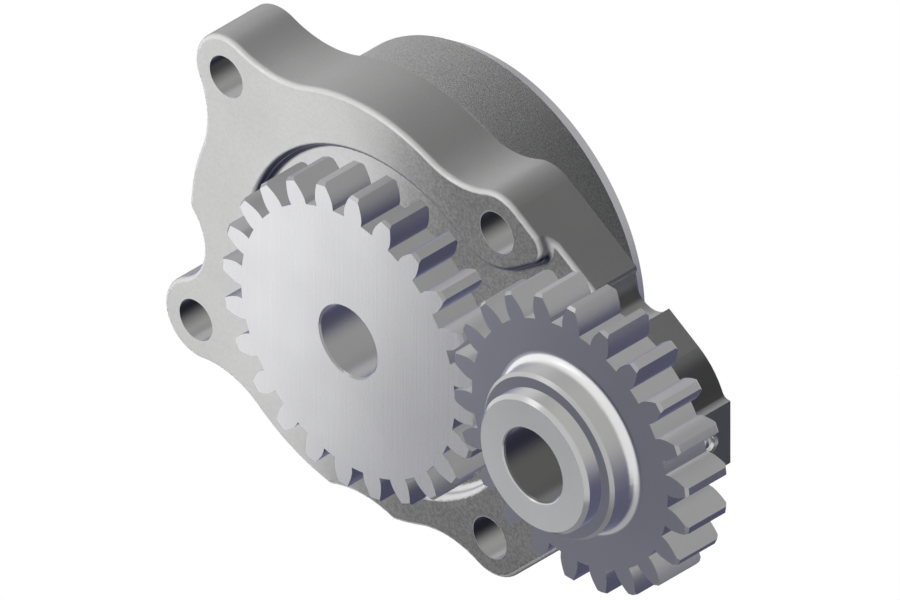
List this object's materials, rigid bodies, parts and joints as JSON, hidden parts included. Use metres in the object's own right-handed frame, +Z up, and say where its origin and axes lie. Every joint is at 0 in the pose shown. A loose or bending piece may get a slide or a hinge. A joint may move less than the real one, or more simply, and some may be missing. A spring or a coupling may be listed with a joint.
{
  "type": "engine oil pump",
  "caption": "Rotor oil pump in a flanged casting, with an open spur drive gear meshing with an idler gear on a headed hollow spindle carried by an arm.",
  "frame": {"origin": "where the drive gear's axis crosses the flange's rear mounting face, which lies on the engine", "axes": "-Y along the drive axis, out of the engine towards the viewer of the gears; +Y into the engine, where the rotor casing lies; +X to the right as seen from the gears, towards the idler arm; +Z up"},
  "size_m": [0.144, 0.0518, 0.0875],
  "materials": {
    "cast_body": "fine sand-cast skin, bare",
    "plate_steel": "ground, bare",
    "fastener_steel": "bare, bright",
    "bush_bronze": "bored bronze",
    "washer_steel": "ground",
    "gear_steel": "machined, fine brushed faces",
    "shaft_steel": "ground",
    "rotor_steel": "sintered, faced",
    "spindle_steel": "turned, bright"
  },
  "bodies": {
    "body": {"pump_body": "cast_body", "back_plate": "plate_steel", "back_plate_screws": "fastener_steel", "back_plate_dowels": "fastener_steel", "front_bush": "bush_bronze", "drive_thrust_washer": "washer_steel", "idler_thrust_washer": "washer_steel", "idler_spindle": "spindle_steel", "gallery_ball": "fastener_steel"},
    "drive": {"drive_gear": "gear_steel", "drive_shaft": "shaft_steel", "rotor_drive_pin": "fastener_steel", "inner_rotor": "rotor_steel"},
    "rotor_ring": {"outer_rotor": "rotor_steel"},
    "idler": {"idler_gear": "gear_steel", "idler_bush": "bush_bronze"}
  },
  "joints": [
    {"name": "drive_spin", "type": "hinge", "parent": "body", "child": "drive", "pos_m": [0, 0, 0], "axis": [0, -1, 0], "continuous": true},
    {"name": "outer_rotor_spin", "type": "hinge", "parent": "body", "child": "rotor_ring", "pos_m": [-0.00304, 0, 0.00304], "axis": [0, -1, 0], "continuous": true},
    {"name": "idler_spin", "type": "hinge", "parent": "body", "child": "idler", "pos_m": [0.05715, 0, 0.00636], "axis": [0, -1, 0], "continuous": true}
  ],
  "couplings": [
    {"joint": "outer_rotor_spin", "follows": "drive_spin", "ratio": 0.8},
    {"joint": "idler_spin", "follows": "drive_spin", "ratio": -1.0909}
  ]
}
